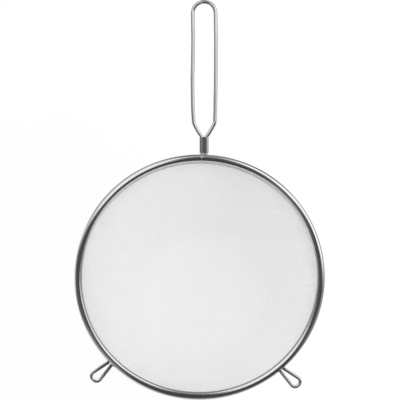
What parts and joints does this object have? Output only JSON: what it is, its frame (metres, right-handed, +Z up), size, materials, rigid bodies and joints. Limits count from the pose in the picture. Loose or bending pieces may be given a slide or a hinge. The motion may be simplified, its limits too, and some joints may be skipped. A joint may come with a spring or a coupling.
{
  "type": "wire mesh strainer",
  "caption": "Round-bottomed fine wire mesh strainer with a rolled steel rim, a long wire-loop handle and two small wire rest ears opposite it.",
  "frame": {"origin": "centre of the bowl's flat bottom, on the surface it stands on", "axes": "+Z up along the bowl's axis, out of the open mouth; +Y from the bowl's axis to the handle's root on the rim; +X to the right seen from above with the handle pointing away"},
  "size_m": [0.2, 0.3267, 0.079],
  "materials": {
    "rim_steel": "polished",
    "core_steel": "satin",
    "mesh_steel": "satin",
    "wire_steel": "polished",
    "ferrule_steel": "satin",
    "ear_steel": "polished"
  },
  "bodies": {
    "root": {"rim_band": "rim_steel", "rim_core_wire": "core_steel", "mesh_bowl": "mesh_steel", "handle_wire": "wire_steel", "handle_ferrule": "ferrule_steel", "ear_left": "ear_steel", "ear_right": "ear_steel"}
  },
  "joints": []
}
